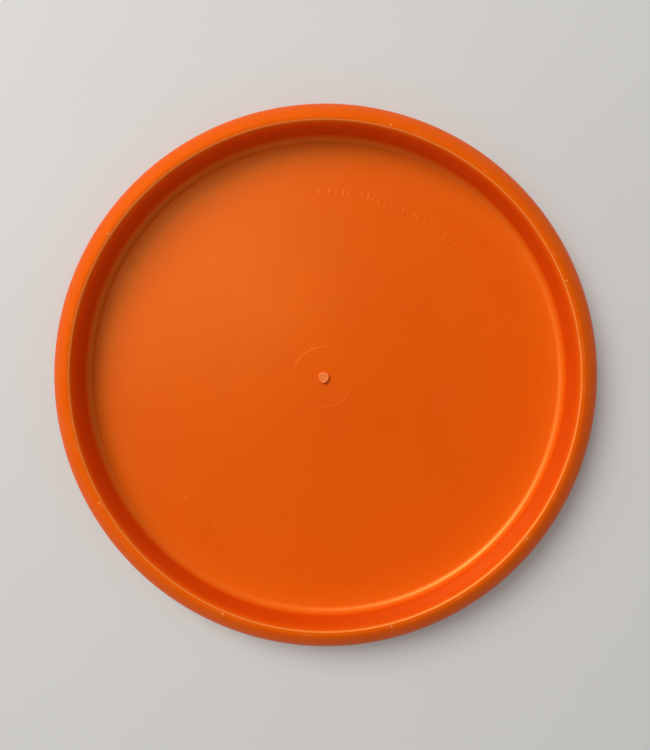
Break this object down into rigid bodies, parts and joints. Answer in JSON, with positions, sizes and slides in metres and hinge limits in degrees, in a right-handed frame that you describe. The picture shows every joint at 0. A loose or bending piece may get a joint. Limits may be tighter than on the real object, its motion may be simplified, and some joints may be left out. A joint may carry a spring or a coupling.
{
  "type": "flying disc",
  "caption": "Round flying disc with a shallow domed plate and a deep rim, lying rim up so that its hollow side shows, with a gate stub in the middle.",
  "frame": {"origin": "centre of the flat middle of the dome, which the disc lies on", "axes": "+Z along the spin axis, out of the hollow side towards the lip of the rim; X and Y lie in the plane of the plate, which has no front"},
  "size_m": [0.212, 0.212, 0.02],
  "materials": {
    "core_plastic": "orange moulded plastic, satin, with fine flow marks and light scuffs",
    "rim_plastic": "orange moulded plastic, satin, a little rubbed on the nose and the lip",
    "gate_plastic": "the same plastic torn at the gate, paler and rough"
  },
  "bodies": {
    "root": {"flight_plate_core": "core_plastic", "outer_rim": "rim_plastic", "gate_stub": "gate_plastic"}
  },
  "joints": []
}
